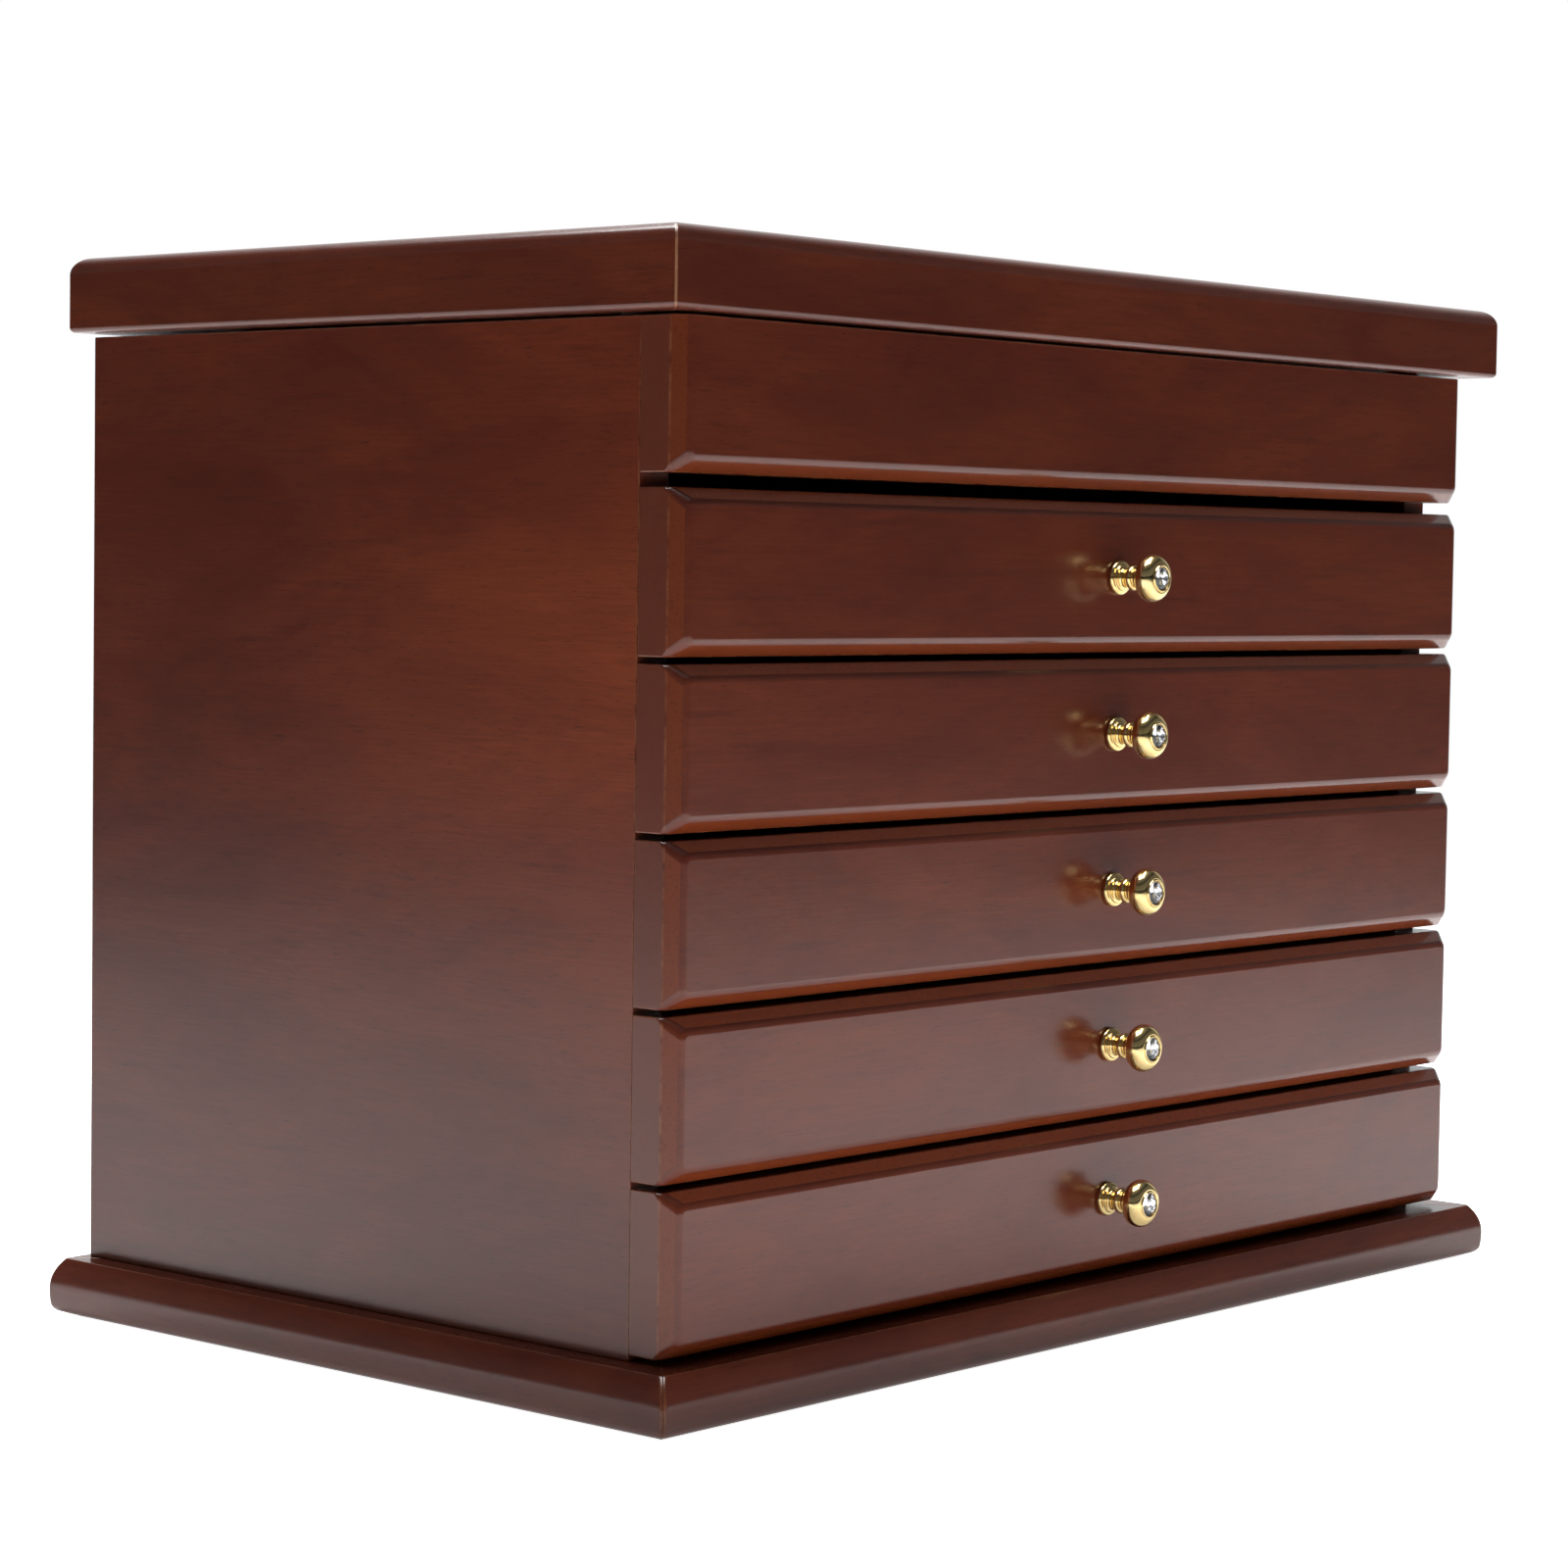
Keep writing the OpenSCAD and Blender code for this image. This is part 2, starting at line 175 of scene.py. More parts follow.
def stained(tree, axis, seed):
    """The stained board's own colour, and the relief of its fibres and pores."""
    figure, fibres, streaks, pores = grain(tree, axis, seed)
    colour = mix(tree, figure, STAIN_DARK, STAIN_LIGHT)
    colour = mix(tree, scaled(tree, fibres, 0.40), colour, STAIN_FIBRE)
    colour = mix(tree, scaled(tree, streaks, 0.42), colour, STAIN_STREAK)
    colour = mix(tree, scaled(tree, pores, 0.50), colour, STAIN_PORE)
    relief = add_node(tree, "ShaderNodeMath", {0: fibres, 1: pores}, operation="ADD").outputs[0]
    return colour, relief


def speckle(tree, size, seed, low, high):
    """Patches about size metres across, from 0 to 1."""
    patches = noise_of(tree, object_coords(tree, (1 / size,) * 3, (seed, 0, 0)), 4, 0.65)
    return ramp(tree, patches, (low, 0.0), (high, 1.0))


# Multipliers for a side panel's colour: paler in a patch near its front edge, darker away from it
SIDE_PATCH_PALE = (1.70, 1.78, 1.50)
SIDE_AWAY_DARK = (0.98, 0.94, 0.98)


def side_patch_tone(tree, colour):
    """A side panel's colour, paler in a wide soft patch near its front edge and darker away from it."""
    away = object_coords(tree, (0, 7.0, 9.0), (0, 0.60, -1.35))
    distance = add_node(tree, "ShaderNodeVectorMath", {0: away}, operation="LENGTH").outputs["Value"]
    stain = mix(tree, ramp(tree, distance, (0.05, 1.0), (1.0, 0.0)), SIDE_AWAY_DARK, SIDE_PATCH_PALE)
    return mix(tree, 1.0, colour, stain, "MULTIPLY")


def lacquered(name, axis, seed, finish="face"):
    """Reddish brown stained wood under a semi-gloss lacquer.

    The face of a board is plain, and a side panel is paler in a wide soft patch near its front edge and
    darker away from it. A bevel is more orange, because its cut grain took the stain in specks, and an upper
    bevel is paler still, a painted highlight for light from above. End grain is browner. An eased edge is
    paler, partly from wear and partly as a painted highlight, and a mitre edge shows bare wood through the
    finish.
    """
    material, tree, shader = new_material(name)
    colour, fibres = stained(tree, axis, seed)
    if finish == "side":
        colour = side_patch_tone(tree, colour)
    elif finish == "end":
        share = ramp(tree, speckle(tree, 0.0011, seed, 0.3, 0.7), (0, 0.5), (1, 0.95))
        colour = mix(tree, share, colour, END_GRAIN)
    elif finish in BEVELS:
        colour = mix(tree, 0.72, colour, BEVELS[finish])
        colour = mix(tree, scaled(tree, speckle(tree, 0.0007, seed, 0.5, 0.72), 0.55), colour, STAIN_FIBRE)
    # Eased edges paler in specks: partly wear, partly a painted highlight
    elif finish == "rubbed_and_highlit":
        colour = mix(tree, scaled(tree, speckle(tree, 0.004, seed, 0.35, 0.65), 0.6), colour, RUBBED_AND_HIGHLIGHT)
    elif finish == "mitre":
        share = ramp(tree, speckle(tree, 0.003, seed, 0.3, 0.7), (0, 0.35), (1, 0.9))
        colour = mix(tree, share, colour, BARE_MITRE)
    tree.links.new(colour, shader.inputs["Base Color"])
    smears = speckle(tree, 0.035, seed, 0.3, 0.7)
    tree.links.new(ramp(tree, smears, (0, 0.36), (1, 0.46)), shader.inputs["Roughness"])
    shader.inputs["Specular IOR Level"].default_value = 0.04
    shader.inputs["Coat Weight"].default_value = 1.0
    shader.inputs["Coat Roughness"].default_value = 0.21
    shader.inputs["Coat IOR"].default_value = 1.5
    ripple = noise_of(tree, object_coords(tree, (420, 420, 420)), 2, 0.5)
    lacquer = add_node(tree, "ShaderNodeBump", {"Height": ripple, "Strength": 0.03, "Distance": 0.0006})
    relief = {"Height": fibres, "Strength": 0.12, "Distance": 0.0003, "Normal": lacquer.outputs[0]}
    tree.links.new(add_node(tree, "ShaderNodeBump", relief).outputs[0], shader.inputs["Normal"])
    tree.links.new(lacquer.outputs[0], shader.inputs["Coat Normal"])
    return material


def bare_wood(name, axis, seed):
    """Plain planed wood of the drawer boxes and other inner boards."""
    material, tree, shader = new_material(name)
    figure, fibres, streaks, pores = grain(tree, axis, seed)
    colour = mix(tree, figure, (0.34, 0.185, 0.088), (0.46, 0.275, 0.140))
    colour = mix(tree, scaled(tree, fibres, 0.35), colour, (0.255, 0.130, 0.060))
    colour = mix(tree, scaled(tree, streaks, 0.40), colour, (0.190, 0.092, 0.042))
    colour = mix(tree, scaled(tree, pores, 0.30), colour, (0.130, 0.062, 0.030))
    tree.links.new(colour, shader.inputs["Base Color"])
    tree.links.new(ramp(tree, fibres, (0.0, 0.52), (1.0, 0.66)), shader.inputs["Roughness"])
    relief = {"Height": fibres, "Strength": 0.25, "Distance": 0.0003}
    tree.links.new(add_node(tree, "ShaderNodeBump", relief).outputs[0], shader.inputs["Normal"])
    return material


def pile_fabric(name, dark, light, sheen, fuzz_scale):
    """Short-pile velvet or felt: brushed patches, a fine fuzz and a soft sheen."""
    material, tree, shader = new_material(name)
    brushed = noise_of(tree, object_coords(tree, (60, 60, 60)), 4, 0.6, 0.6)
    fuzz = noise_of(tree, object_coords(tree, (fuzz_scale,) * 3), 3, 0.7)
    colour = mix(tree, ramp(tree, brushed, (0.3, 0.0), (0.7, 1.0)), dark, light)
    colour = mix(tree, ramp(tree, fuzz, (0.3, 0.45), (0.7, 0.0)), colour, tuple(c * 0.72 for c in dark))
    tree.links.new(colour, shader.inputs["Base Color"])
    tree.links.new(ramp(tree, fuzz, (0.0, 0.82), (1.0, 0.98)), shader.inputs["Roughness"])
    shader.inputs["Specular IOR Level"].default_value = 0.15
    shader.inputs["Sheen Weight"].default_value = sheen
    shader.inputs["Sheen Roughness"].default_value = 0.35
    shader.inputs["Sheen Tint"].default_value = (1.0, 0.94, 0.84, 1)
    relief = {"Height": fuzz, "Strength": 0.55, "Distance": 0.0004}
    tree.links.new(add_node(tree, "ShaderNodeBump", relief).outputs[0], shader.inputs["Normal"])
    return material


def polished_brass():
    """Lacquered, gold-coloured brass with faint polishing marks."""
    material, tree, shader = new_material("polished_brass")
    tarnish = noise_of(tree, object_coords(tree, (300, 300, 300)), 4, 0.6)
    colour = mix(tree, ramp(tree, tarnish, (0.35, 0.0), (0.7, 1.0)), (0.97, 0.77, 0.38), (0.90, 0.655, 0.265))
    tree.links.new(colour, shader.inputs["Base Color"])
    shader.inputs["Metallic"].default_value = 1.0
    tree.links.new(ramp(tree, tarnish, (0.2, 0.10), (0.8, 0.20)), shader.inputs["Roughness"])
    marks = noise_of(tree, object_coords(tree, (900, 900, 2600)), 2, 0.5)
    relief = {"Height": marks, "Strength": 0.05, "Distance": 0.0002}
    tree.links.new(add_node(tree, "ShaderNodeBump", relief).outputs[0], shader.inputs["Normal"])
    return material


def silvered(name, tone, roughness):
    """Silvering seen as a mirror or as the foil behind a stone, with a trace of haze."""
    material, tree, shader = new_material(name)
    haze = noise_of(tree, object_coords(tree, (18, 18, 18)), 3, 0.6)
    tree.links.new(mix(tree, haze, tone, tuple(c * 0.95 for c in tone)), shader.inputs["Base Color"])
    tree.links.new(ramp(tree, haze, (0.3, roughness), (0.8, roughness * 1.8)), shader.inputs["Roughness"])
    shader.inputs["Metallic"].default_value = 1.0
    return material


def clear_stone():
    """Cut glass, very slightly uneven in tint."""
    material, tree, shader = new_material("clear_stone")
    tint = noise_of(tree, object_coords(tree, (700, 700, 700)), 2, 0.5)
    tree.links.new(mix(tree, tint, (0.98, 0.99, 1.0), (0.93, 0.95, 0.98)), shader.inputs["Base Color"])
    shader.inputs["Roughness"].default_value = 0.0
    shader.inputs["IOR"].default_value = 1.62
    shader.inputs["Transmission Weight"].default_value = 1.0
    return material


# ---------------------------------------------------------------- shapes
# A solid is (points, faces), in metres, in the chest's own frame.

def arc(centre, radius, start, end, steps):
    """Points along an arc, from one angle to another in degrees."""
    angles = [math.radians(start + (end - start) * k / steps) for k in range(steps + 1)]
    return [(centre[0] + radius * math.cos(a), centre[1] + radius * math.sin(a)) for a in angles]


def moved(solid, place, turn=0.0):
    """The solid turned about Z by turn degrees, then carried to place."""
    points, faces = solid
    matrix = Matrix.Translation(place) @ Matrix.Rotation(math.radians(turn), 4, "Z")
    return [matrix @ Vector(p) for p in points], faces


def block(low, high):
    """A rectangular board."""
    points = [(x, y, z) for z in (low[2], high[2]) for y in (low[1], high[1]) for x in (low[0], high[0])]
    return points, [(0, 2, 3, 1), (4, 5, 7, 6), (0, 1, 5, 4), (2, 6, 7, 3), (0, 4, 6, 2), (1, 3, 7, 5)]


def bar(outline, length):
    """A bar along X with outline as its section: (depth behind its outer edge, height)."""
    count = len(outline)
    points = [(side * length / 2, d, z) for side in (-1, 1) for d, z in outline]
    faces = [tuple(range(count)), tuple(range(count, 2 * count))]
    faces += [(k, (k + 1) % count, count + (k + 1) % count, count + k) for k in range(count)]
    return points, faces


CORNER_STEPS = 4


def mitred_bar(outline, length, corner):
    """A bar along X with 45 degree mitres, its outer corners rounded in plan by the radius corner.

    The outline is as for bar. Its last two points are the bar's straight inner edge, which is not rounded.
    """
    angles = [math.radians(45 * k / CORNER_STEPS) for k in range(CORNER_STEPS + 1)]
    points, rows = [], []
    for side, order in ((-1, angles[::-1]), (1, angles)):
        for angle in order:
            row = []
            for k, (d, z) in enumerate(outline):
                r = corner if k < len(outline) - 2 else 0.0
                spot = (side * (length / 2 - d - r * (1 - math.sin(angle))), d + r * (1 - math.cos(angle)), z)
                if r == 0.0 and angle != order[0]:
                    row.append(rows[-1][k])
                    continue
                row.append(len(points))
                points.append(spot)
            rows.append(row)
    count = len(outline)
    faces = [tuple(rows[0]), tuple(rows[-1])]
    for first, second in zip(rows, rows[1:]):
        for k in range(count):
            nxt = (k + 1) % count
            kept = list(dict.fromkeys((first[k], first[nxt], second[nxt], second[k])))
            if len(kept) > 2:
                faces.append(tuple(kept))
    return points, faces


def ring(outline, low, high):
    """A closed frame round the rectangle low to high, with outline as its section: (inset, height)."""
    count = len(outline)
    points = []
    for d, z in outline:
        x0, y0, x1, y1 = low[0] + d, low[1] + d, high[0] - d, high[1] - d
        points += [(x0, y0, z), (x1, y0, z), (x1, y1, z), (x0, y1, z)]
    faces = []
    for k in range(count):
        a, b = 4 * k, 4 * ((k + 1) % count)
        faces += [(a + s, a + (s + 1) % 4, b + (s + 1) % 4, b + s) for s in range(4)]
    return points, faces


def tray(low, high, wall):
    """An open-topped tray with one thickness of wall and floor."""
    inner_low = [low[0] + wall, low[1] + wall, low[2] + wall]
    inner_high = [high[0] - wall, high[1] - wall, high[2]]
    points = block(low, high)[0] + block(inner_low, inner_high)[0]
    faces = [(0, 2, 3, 1), (8, 9, 11, 10)]
    faces += [(0, 1, 5, 4), (2, 6, 7, 3), (0, 4, 6, 2), (1, 3, 7, 5)]
    faces += [tuple(k + 8 for k in f) for f in ((0, 4, 5, 1), (2, 3, 7, 6), (0, 2, 6, 4), (1, 5, 7, 3))]
    faces += [(4, 5, 13, 12), (5, 7, 15, 13), (7, 6, 14, 15), (6, 4, 12, 14)]
    return points, faces


def bevelled_board(low, high, width, depth, bevelled_top):
    """A board whose face, towards -Y, is bevelled at its ends and foot, and at its top if asked."""
    x0, y0, z0 = low
    x1, y1, z1 = high
    points = []
    for y, inset in ((y1, 0), (y0 + depth, 0), (y0, width)):
        left, right, foot, top = x0 + inset, x1 - inset, z0 + inset, z1 - inset * bevelled_top
        points += [(left, y, foot), (right, y, foot), (right, y, top), (left, y, top)]
    faces = [(0, 1, 2, 3), (8, 9, 10, 11)]
    faces += [(a + s, a + (s + 1) % 4, a + 4 + (s + 1) % 4, a + 4 + s) for a in (0, 4) for s in range(4)]
    return points, faces


def revolved(profile, axis_place, along, steps=72, closed=False):
    """The profile, points (radius, distance), turned about the axis through axis_place.

    A profile starts and ends on the axis, or is closed if it is the section of a tube.
    """
    turn = Vector((0, 0, 1)).rotation_difference(Vector(along)).to_matrix()
    points, rows = [], []
    for radius, distance in profile:
        if radius < TINY:
            rows.append([len(points)] * steps)
            points.append(Vector(axis_place) + turn @ Vector((0, 0, distance)))
            continue
        rows.append(list(range(len(points), len(points) + steps)))
        for k in range(steps):
            a = 2 * math.pi * k / steps
            spoke = Vector((radius * math.cos(a), radius * math.sin(a), distance))
            points.append(Vector(axis_place) + turn @ spoke)
    faces = []
    for lower, upper in zip(rows, rows[1:] + rows[:closed]):
        for k in range(steps):
            corners = [lower[k], lower[(k + 1) % steps], upper[(k + 1) % steps], upper[k]]
            kept = list(dict.fromkeys(corners))
            if len(kept) > 2:
                faces.append(tuple(kept))
    return points, faces


def built(name, solids, smooth=True):
    """A mesh object made of closed solids, with its normals facing out."""
    mesh = bmesh.new()
    for points, faces in solids:
        corners = [mesh.verts.new(p) for p in points]
        for face in faces:
            mesh.faces.new([corners[k] for k in face])
    bmesh.ops.recalc_face_normals(mesh, faces=mesh.faces)
    data = bpy.data.meshes.new(name)
    mesh.to_mesh(data)
    mesh.free()
    data.polygons.foreach_set("use_smooth", [smooth] * len(data.polygons))
    made = bpy.data.objects.new(name, data)
    bpy.context.scene.collection.objects.link(made)
    return made


# In degrees; an edge that turns less is left as it is
SHARP_ANGLE = 28


def round_edges(piece, width, segments=3, edge_slot=0):
    """Rounds the piece's sharp edges. The faces that this makes take the material in edge_slot."""
    bevel = piece.modifiers.new("rounded_edges", "BEVEL")
    bevel.width = width
    bevel.segments = segments
    bevel.limit_method = "ANGLE"
    bevel.angle_limit = math.radians(SHARP_ANGLE)
    bevel.material = edge_slot
    bevel.harden_normals = False
    shading = piece.modifiers.new("shading", "WEIGHTED_NORMAL")
    shading.keep_sharp = True


def cut(piece, solids):
    """Cuts the solids out of the piece's mesh."""
    cutter = built("cutter", solids)
    change = piece.modifiers.new("cut", "BOOLEAN")
    change.object = cutter
    change.solver = "EXACT"
    graph = bpy.context.evaluated_depsgraph_get()
    piece.data = bpy.data.meshes.new_from_object(piece.evaluated_get(graph))
    piece.modifiers.remove(change)
    bpy.data.objects.remove(cutter)
    piece.data.polygons.foreach_set("use_smooth", [True] * len(piece.data.polygons))


def put(piece, node, body, slot, *materials):
    """Gives a piece its materials and sets it in the place of a CAD node."""
    for material in materials:
        piece.data.materials.append(material)
    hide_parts(node)
    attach(piece, body)
    return piece


# A face that leans more than this towards both x and y is on a rounded corner
CORNER_LEAN = 0.18


def wooden(node, body, solids, axis, seed, edge=0.3 * MM, edge_finish="rubbed_and_highlit", mortises=(), finish="face"):
    """A lacquered wooden piece whose eased edges and corners take the second, paler material."""
    piece = built(f"{node}_wood", solids)
    for face in piece.data.polygons:
        if min(abs(face.normal.x), abs(face.normal.y)) > CORNER_LEAN:
            face.material_index = 1
    if mortises:
        cut(piece, mortises)
    round_edges(piece, edge, 3, 1)
    # The default edge colour is paler partly from wear and partly as a painted highlight
    finishes = [lacquered(f"{kind}_{node}", axis, seed, kind) for kind in (finish, edge_finish)]
    return put(piece, node, body, "lacquered_wood", *finishes)


# ---------------------------------------------------------------- base and carcase

MOULDING_WIDTH = 30 * MM
MOULDING_RADIUS = 10.5 * MM
MOULDING_ROUND_START = 5.5 * MM
MOULDING_FACE_RADIUS = 25 * MM
# In degrees, at the foot of the face
MOULDING_FACE_LEAN = 8
BASE_CORNER = 1.3 * MM


def moulding_section(height):
    """A small round below, a slightly crowned face, and a large round that meets the flat top at a crease."""
    lean = math.radians(MOULDING_FACE_LEAN)
    low_radius = (MOULDING_ROUND_START - MOULDING_FACE_RADIUS * math.sin(lean)) / (1 - math.sin(lean))
    inset = MOULDING_FACE_RADIUS * (1 - math.cos(lean)) + low_radius * math.cos(lean)
    crease = math.degrees(math.asin((height - MOULDING_ROUND_START) / MOULDING_RADIUS))
    tilt = 180 + MOULDING_FACE_LEAN
    low = arc((inset, low_radius), low_radius, 270, tilt, 8)
    face = arc((MOULDING_FACE_RADIUS, MOULDING_ROUND_START), MOULDING_FACE_RADIUS, tilt, 180, 5)
    high = arc((MOULDING_RADIUS, MOULDING_ROUND_START), MOULDING_RADIUS, 180, 180 - crease, 16)
    return low + face[1:-1] + high + [(MOULDING_WIDTH, height), (MOULDING_WIDTH, 0)]


def frame_of_bars(low, high, section, corner):
    """Front, rear, left and right mitred bars round a rectangle, all with one section."""
    middle = (low + high) / 2
    wide = mitred_bar(section, high.x - low.x, corner)
    deep = mitred_bar(section, high.y - low.y, corner)
    return {"front": moved(wide, (middle.x, low.y, low.z)),
            "rear": moved(wide, (middle.x, high.y, low.z), 180),
            "left": moved(deep, (low.x, middle.y, low.z), -90),
            "right": moved(deep, (high.x, middle.y, low.z), 90)}


def make_base():
    low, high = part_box("base_long_mouldings")
    bars = frame_of_bars(low, high, moulding_section(high.z - low.z), BASE_CORNER)
    wooden("base_long_mouldings", "chest", [bars["front"], bars["rear"]], ALONG_X, 1, 0.2 * MM)
    wooden("base_side_mouldings", "chest", [bars["left"], bars["right"]], ALONG_Y, 2, 0.2 * MM)


HINGE_LENGTH = 30 * MM
HINGE_FROM_MIDDLE = 85 * MM
KNUCKLE_RADIUS = 2.2 * MM
LEAF_THICKNESS = 1.2 * MM
PAST_BACK = 5 * MM


def leaf_mortises():
    """The shallow recesses for the hinge leaves, open to the back."""
    low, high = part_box("hinge_body_leaves")
    axis_z = high.z - KNUCKLE_RADIUS
    return [block((side * HINGE_FROM_MIDDLE - HINGE_LENGTH / 2, low.y, axis_z - LEAF_THICKNESS),
                  (side * HINGE_FROM_MIDDLE + HINGE_LENGTH / 2, high.y + PAST_BACK, axis_z + LEAF_THICKNESS))
            for side in (-1, 1)]


def make_carcase():
    for node, seed in (("left_side_panel", 3), ("right_side_panel", 4)):
        wooden(node, "chest", [block(*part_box(node))], ALONG_Y, seed, finish="side")
    wooden("back_panel", "chest", [block(*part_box("back_panel"))], ALONG_X, 10, mortises=leaf_mortises())


BEVEL_WIDTH = 2.9 * MM
BEVEL_DEPTH = 3.4 * MM
CORNER_ROUNDING = 1.6 * MM
FACE_ROUNDING = 1.0 * MM
FRONT_FINISHES = ("face", "rubbed_and_highlit", "bevel", "upper_bevel_painted_light", "end")


def lies_at(edge, axis, place):
    """Whether both ends of the edge are at the place along the axis, an index into x, y, z."""
    return all(abs(v.co[axis] - place) < TINY for v in edge.verts)


def make_front(node, body, seed, bevelled_top=True):
    """A board with a bevelled face, and the corners of the bevel rounded more than its edges."""
    low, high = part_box(node)
    piece = built(f"{node}_wood", [bevelled_board(low, high, BEVEL_WIDTH, BEVEL_DEPTH, bevelled_top)])
    mesh = bmesh.new()
    mesh.from_mesh(piece.data)
    mesh.normal_update()
    on_face = {v for v in mesh.verts if abs(v.co.y - low.y) < TINY}
    for face in mesh.faces:
        if abs(face.normal.x) > 0.99:
            face.material_index = FRONT_FINISHES.index("end")
        # A bevel that faces up takes the paler upper colour, a painted highlight for light from above
        elif 0.5 < face.normal.z < 0.99:
            face.material_index = FRONT_FINISHES.index("upper_bevel_painted_light")
        elif sum(v in on_face for v in face.verts) == 2:
            face.material_index = FRONT_FINISHES.index("bevel")
    ridges = [e for e in mesh.edges if sum(v in on_face for v in e.verts) == 1 and not lies_at(e, 2, high.z)]
    bmesh.ops.bevel(mesh, geom=ridges, offset=CORNER_ROUNDING, segments=6, profile=0.5, affect="EDGES",
                    clamp_overlap=True)
    border = [e for e in mesh.edges if lies_at(e, 1, low.y) and not lies_at(e, 2, high.z)]
    bmesh.ops.bevel(mesh, geom=border, offset=FACE_ROUNDING, segments=4, profile=0.5, affect="EDGES",
                    clamp_overlap=True)
    bmesh.ops.recalc_face_normals(mesh, faces=mesh.faces)
    mesh.to_mesh(piece.data)
    mesh.free()
    piece.data.polygons.foreach_set("use_smooth", [True] * len(piece.data.polygons))
    round_edges(piece, 0.3 * MM, 3, 1)
    finishes = [lacquered(f"{kind}_{node}", ALONG_X, seed, kind) for kind in FRONT_FINISHES]
    put(piece, node, body, "lacquered_wood", *finishes)


# ---------------------------------------------------------------- lid

LID_CORNER = 0.5 * MM
RAIL_WIDTH = 24 * MM
LID_RADIUS = 4 * MM
LID_LOW_RADIUS = 1.2 * MM


def rail_section(height):
    """A large round on the upper edge and a small one on the lower."""
    low_arc = arc((LID_LOW_RADIUS, LID_LOW_RADIUS), LID_LOW_RADIUS, 270, 180, 10)
    high_arc = arc((LID_RADIUS, height - LID_RADIUS), LID_RADIUS, 180, 90, 18)
    return low_arc + high_arc + [(RAIL_WIDTH, height), (RAIL_WIDTH, 0)]


def make_lid():
    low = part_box("lid_front_rail")[0]
    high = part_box("lid_rear_rail")[1]
    bars = frame_of_bars(low, high, rail_section(high.z - low.z), LID_CORNER)
    wooden("lid_front_rail", "lid", [bars["front"]], ALONG_X, 6, 0.17 * MM, "mitre")
    wooden("lid_rear_rail", "lid", [bars["rear"]], ALONG_X, 7, 0.17 * MM, "mitre", leaf_mortises())
    wooden("lid_side_rails", "lid", [bars["left"], bars["right"]], ALONG_Y, 8, 0.17 * MM, "mitre")
    wooden("lid_panel", "lid", [block(*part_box("lid_panel"))], ALONG_X, 9, 0.2 * MM)


# ---------------------------------------------------------------- knobs and stones

def knob_profile():
    """Half of a turned knob's section, from the end of its shank to the pocket for its stone.

    It is drawn in millimetres, with distances from the drawer's face.
    """
    shank = [(0, -9), (1.2, -9), (1.5, -8.6), (1.5, 0)]
    flange = arc((3.3, 0.7), 0.7, -90, 90, 14) + arc((2.85, 1.75), 0.25, -90, 90, 6)
    cove = arc((2.85, 2.65), 0.65, -95, -180, 8)
    bead = arc((2.0, 4.6), 1.0, -70, 78, 20)
    collar = [(2.15, 5.7)] + arc((2.5, 6.15), 0.2, -60, 0, 4) + arc((3.3, 6.75), 0.6, 180, 118, 7)
    head = arc((2.9, 9.9), 2.6, -84, 74, 44)
    bezel = arc((3.27, 12.58), 0.14, -60, -150, 4) + arc((2.93, 12.58), 0.2, 10, 170, 10)
    pocket = [(2.72, 12.0), (2.55, 11.25), (0, 11.2)]
    return [(r * MM, s * MM) for r, s in shank + flange + cove + bead + collar + head + bezel + pocket]


# In millimetres, with the girdle's distance from the drawer's face
STONE_RADIUS = 2.65
GIRDLE = 12.4
STONE_STEPS = 8
# From table to tip: (share of the radius, rise above the girdle, turn in steps)
STONE_RINGS = ((0.55, 0.70, 0.0), (0.79, 0.45, 0.5), (1.0, 0.0, 0.0), (1.0, 0.0, 0.5),
               (0.62, -0.50, 0.5), (0.12, -1.05, 0.0))


def make_stone(name, centre):
    """A faceted stone: table, crown and pavilion as the hull of rings of points."""
    mesh = bmesh.new()
    for share, rise, turn in STONE_RINGS:
        for k in range(STONE_STEPS):
            a = 2 * math.pi * (k + turn) / STONE_STEPS
            r = share * STONE_RADIUS * MM
            mesh.verts.new(centre + Vector((r * math.cos(a), -(GIRDLE + rise) * MM, r * math.sin(a))))
    bmesh.ops.convex_hull(mesh, input=mesh.verts)
    bmesh.ops.dissolve_limit(mesh, angle_limit=math.radians(1), verts=mesh.verts, edges=mesh.edges)
    bmesh.ops.recalc_face_normals(mesh, faces=mesh.faces)
    for face in mesh.faces:
        face.material_index = 1 if face.normal.y > 0.1 else 0
    data = bpy.data.meshes.new(name)
    mesh.to_mesh(data)
    mesh.free()
    made = bpy.data.objects.new(name, data)
    bpy.context.scene.collection.objects.link(made)
    return made


def make_knob(number, brass, stone, foil):
    low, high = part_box(f"drawer_{number}_front")
    body = f"drawer_{number}"
    centre = Vector(((low.x + high.x) / 2, low.y, (low.z + high.z) / 2))
    knob = built(f"drawer_{number}_knob_turned", [revolved(knob_profile(), centre, (0, -1, 0))])
    put(knob, f"drawer_{number}_knob", body, "polished_brass", brass)
    gem = make_stone(f"drawer_{number}_stone", centre)
    put(gem, f"drawer_{number}_gem", body, "clear_stone", stone, foil)


# ---------------------------------------------------------------- drawer boxes and inner boards

SIDE_THICKNESS = 8 * MM
GROOVE_DEPTH = 4 * MM
TONGUE = 3 * MM
LINING = 1.2 * MM


def side_section(side, bottom):
    """Section of a drawer side, outer face at depth 0, with a groove inside for the drawer's bottom."""
    z0, z1 = side
    b0, b1 = (z - z0 for z in bottom)
    t = SIDE_THICKNESS
    return [(0, 0), (0, z1 - z0), (t, z1 - z0), (t, b1), (t - TONGUE, b1), (t - TONGUE, b0), (t, b0), (t, 0)]


RUNNER_WIDTH = 4.5 * MM
RUNNER_LOW, RUNNER_HIGH = 12.5 * MM, 19.5 * MM
RUNNER_FIT = 0.3 * MM
GROOVE_START = 12 * MM


